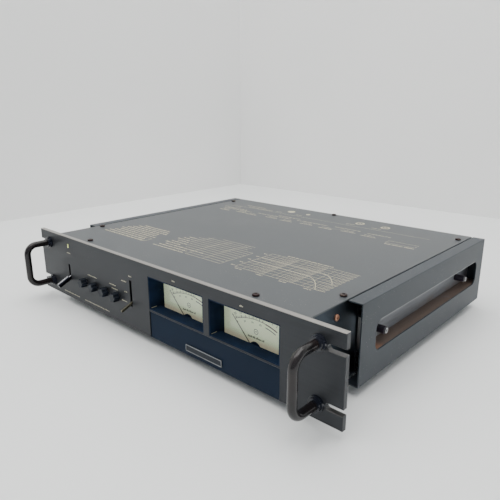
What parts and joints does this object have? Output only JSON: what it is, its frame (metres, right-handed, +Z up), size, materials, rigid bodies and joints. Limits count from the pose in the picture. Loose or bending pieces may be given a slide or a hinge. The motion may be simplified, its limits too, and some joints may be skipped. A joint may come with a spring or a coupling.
{
  "type": "power amplifier",
  "caption": "Slim rack-width stereo power amplifier: thick front panel with bar handles, level knobs, lever switches and needle meters, over a flat case with side heat sinks.",
  "frame": {"origin": "middle of the footprint at the bottom of the feet; handles and back terminals set its depth", "axes": "+X to the right seen from the front, +Y from the front panel to the back, +Z up"},
  "size_m": [0.48, 0.405, 0.091],
  "materials": {
    "panel_anodised": "fine brushed, dark grey anodised",
    "trim_finish": "matt blue-black paint",
    "badge_metal": "dark field with a bright rim",
    "handle_finish": "gloss brown-black enamel",
    "collar_finish": "gloss brown-black enamel",
    "cover_paint": "satin grey paint with cream print",
    "side_paint": "satin blue-grey paint",
    "frame_steel": "zinc-plated steel",
    "rear_paint": "satin dark grey paint",
    "sink_anodised": "dark anodised extrusion",
    "screw_dark": "black oxide",
    "screw_copper": "copper-flashed steel",
    "screw_light": "nickel plate",
    "standoff_black": "moulded",
    "meter_black": "moulded black",
    "meter_lens": "clear",
    "scale_card": "matt cream-green paint with printed scale",
    "needle_metal": "matt black",
    "lever_chrome": "polished",
    "lever_dark": "matt black",
    "switch_plastic": "moulded",
    "knob_plastic": "moulded black",
    "shaft_metal": "turned",
    "pot_metal": "plated",
    "led_green": "clear tinted",
    "transistor_can": "nickel-plated can",
    "core_steel": "varnished laminations",
    "winding_wrap": "enamelled copper under tape",
    "capacitor_sleeve": "shrink sleeve",
    "board_laminate": "phenolic board with parts",
    "fuse_plastic": "moulded black",
    "jack_metal": "nickel over brass",
    "post_metal": "turned",
    "cap_plastic": "moulded",
    "gland_rubber": "moulded",
    "foot_rubber": "moulded"
  },
  "bodies": {
    "chassis": {"front_panel": "panel_anodised", "trim_panel": "trim_finish", "badge_plate": "badge_metal", "handle_left": "handle_finish", "handle_right": "handle_finish", "handle_collars": "collar_finish", "top_cover": "cover_paint", "side_cover_left": "side_paint", "side_cover_right": "side_paint", "sub_panel": "frame_steel", "chassis_side_left": "frame_steel", "chassis_side_right": "frame_steel", "bottom_plate": "frame_steel", "transformer_frame": "frame_steel", "capacitor_clamps": "frame_steel", "rear_panel": "rear_paint", "heatsink_left": "sink_anodised", "heatsink_right": "sink_anodised", "cover_screws": "screw_dark", "side_cover_screws": "screw_dark", "foot_screws": "screw_dark", "handle_bolts": "screw_dark", "frame_screws": "screw_copper", "standoff_screws": "screw_light", "side_standoffs": "standoff_black", "meter_bezel": "meter_black", "meter_cases": "meter_black", "meter_lenses": "meter_lens", "meter_scales": "scale_card", "power_switch": "switch_plastic", "range_switch": "switch_plastic", "control_pots": "pot_metal", "power_led": "led_green", "power_transistors": "transistor_can", "transformer_core": "core_steel", "transformer_winding": "winding_wrap", "filter_capacitors": "capacitor_sleeve", "amplifier_board": "board_laminate", "power_board": "board_laminate", "fuse_holder": "fuse_plastic", "input_jacks": "jack_metal", "speaker_posts": "post_metal", "mains_gland": "gland_rubber", "feet": "foot_rubber"},
    "power_lever": {"power_lever": "lever_chrome"},
    "range_lever": {"range_lever": "lever_dark"},
    "knob_1": {"knob_1": "knob_plastic", "control_shaft_1": "shaft_metal"},
    "knob_2": {"knob_2": "knob_plastic", "control_shaft_2": "shaft_metal"},
    "knob_3": {"knob_3": "knob_plastic", "control_shaft_3": "shaft_metal"},
    "knob_4": {"knob_4": "knob_plastic", "control_shaft_4": "shaft_metal"},
    "needle_left": {"needle_left": "needle_metal"},
    "needle_right": {"needle_right": "needle_metal"},
    "post_cap_1": {"post_cap_1": "cap_plastic"},
    "post_cap_2": {"post_cap_2": "cap_plastic"},
    "post_cap_3": {"post_cap_3": "cap_plastic"},
    "post_cap_4": {"post_cap_4": "cap_plastic"}
  },
  "joints": [
    {"name": "power_lever_turn", "type": "hinge", "parent": "chassis", "child": "power_lever", "pos_m": [-0.1693, -0.154, 0.045], "axis": [-1, 0, 0], "range_deg": [0, 54]},
    {"name": "range_lever_turn", "type": "hinge", "parent": "chassis", "child": "range_lever", "pos_m": [-0.0333, -0.142, 0.0504], "axis": [-1, 0, 0], "range_deg": [0, 48]},
    {"name": "knob_1_turn", "type": "hinge", "parent": "chassis", "child": "knob_1", "pos_m": [-0.1315, -0.171, 0.0402], "axis": [0, -1, 0], "range_deg": [-150, 150]},
    {"name": "knob_2_turn", "type": "hinge", "parent": "chassis", "child": "knob_2", "pos_m": [-0.1079, -0.171, 0.0402], "axis": [0, -1, 0], "range_deg": [-150, 150]},
    {"name": "knob_3_turn", "type": "hinge", "parent": "chassis", "child": "knob_3", "pos_m": [-0.0843, -0.171, 0.0402], "axis": [0, -1, 0], "range_deg": [-150, 150]},
    {"name": "knob_4_turn", "type": "hinge", "parent": "chassis", "child": "knob_4", "pos_m": [-0.0607, -0.171, 0.0402], "axis": [0, -1, 0], "range_deg": [-150, 150]},
    {"name": "needle_left_turn", "type": "hinge", "parent": "chassis", "child": "needle_left", "pos_m": [0.04225, -0.148, 0.0305], "axis": [0, 1, 0], "range_deg": [0, 88], "stiffness_Nm_per_rad": 0.0005, "springref_deg": -20.05},
    {"name": "needle_right_turn", "type": "hinge", "parent": "chassis", "child": "needle_right", "pos_m": [0.13525, -0.148, 0.0305], "axis": [0, 1, 0], "range_deg": [0, 88], "stiffness_Nm_per_rad": 0.0005, "springref_deg": -20.05},
    {"name": "post_cap_1_turn", "type": "hinge", "parent": "chassis", "child": "post_cap_1", "pos_m": [-0.0636, 0.193, 0.053], "axis": [0, 1, 0], "range_deg": [0, 720]},
    {"name": "post_cap_2_turn", "type": "hinge", "parent": "chassis", "child": "post_cap_2", "pos_m": [-0.0312, 0.193, 0.053], "axis": [0, 1, 0], "range_deg": [0, 720]},
    {"name": "post_cap_3_turn", "type": "hinge", "parent": "chassis", "child": "post_cap_3", "pos_m": [0.0589, 0.193, 0.053], "axis": [0, 1, 0], "range_deg": [0, 720]},
    {"name": "post_cap_4_turn", "type": "hinge", "parent": "chassis", "child": "post_cap_4", "pos_m": [0.0979, 0.193, 0.053], "axis": [0, 1, 0], "range_deg": [0, 720]}
  ]
}
